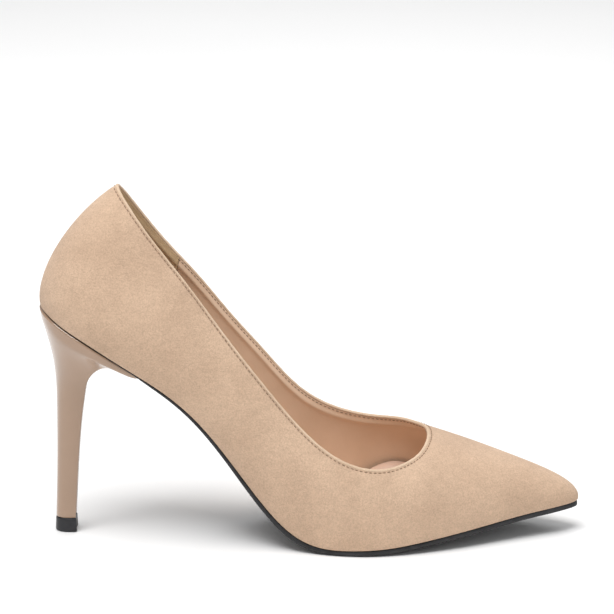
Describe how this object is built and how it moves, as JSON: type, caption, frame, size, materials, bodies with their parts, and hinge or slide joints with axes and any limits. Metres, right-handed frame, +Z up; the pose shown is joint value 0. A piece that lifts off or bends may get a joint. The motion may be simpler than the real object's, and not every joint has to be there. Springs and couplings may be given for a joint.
{
  "type": "high heel pump",
  "caption": "Pointed-toe high heel pump for the right foot, with a slim stiletto heel, folded topline, lining, insole, shank and heel tip.",
  "frame": {"origin": "middle of the bounding box in plan, on the ground plane", "axes": "+X to the toe, -Y to the outer (lateral) side of the foot, +Z up"},
  "size_m": [0.2287, 0.0741, 0.1523],
  "materials": {
    "suede": "soft suede nap",
    "thread": "matt spun thread",
    "stiffener_board": "pressed fibre",
    "grip_lining": "brushed nubuck",
    "lining": "smooth satin",
    "foam": "matt foam",
    "steel": "zinc plated",
    "sole_rubber": "fine matt",
    "heel_lacquer": "satin lacquer",
    "tip_plastic": "satin"
  },
  "bodies": {
    "root": {"upper": "suede", "topline_binding": "suede", "topline_stitching": "thread", "heel_counter": "stiffener_board", "toe_puff": "stiffener_board", "heel_grip_lining": "grip_lining", "quarter_lining_lateral": "lining", "quarter_lining_medial": "lining", "vamp_lining": "lining", "sock_lining": "lining", "heel_pad": "foam", "forepart_pad": "foam", "shank_board": "stiffener_board", "insole_board": "stiffener_board", "steel_shank": "steel", "shank_rivets": "steel", "bottom_filler": "foam", "outsole": "sole_rubber", "heel_block": "heel_lacquer", "heel_tube": "steel", "heel_tip": "tip_plastic", "heel_tip_pin": "steel", "heel_screw": "steel", "heel_nails": "steel"}
  },
  "joints": []
}
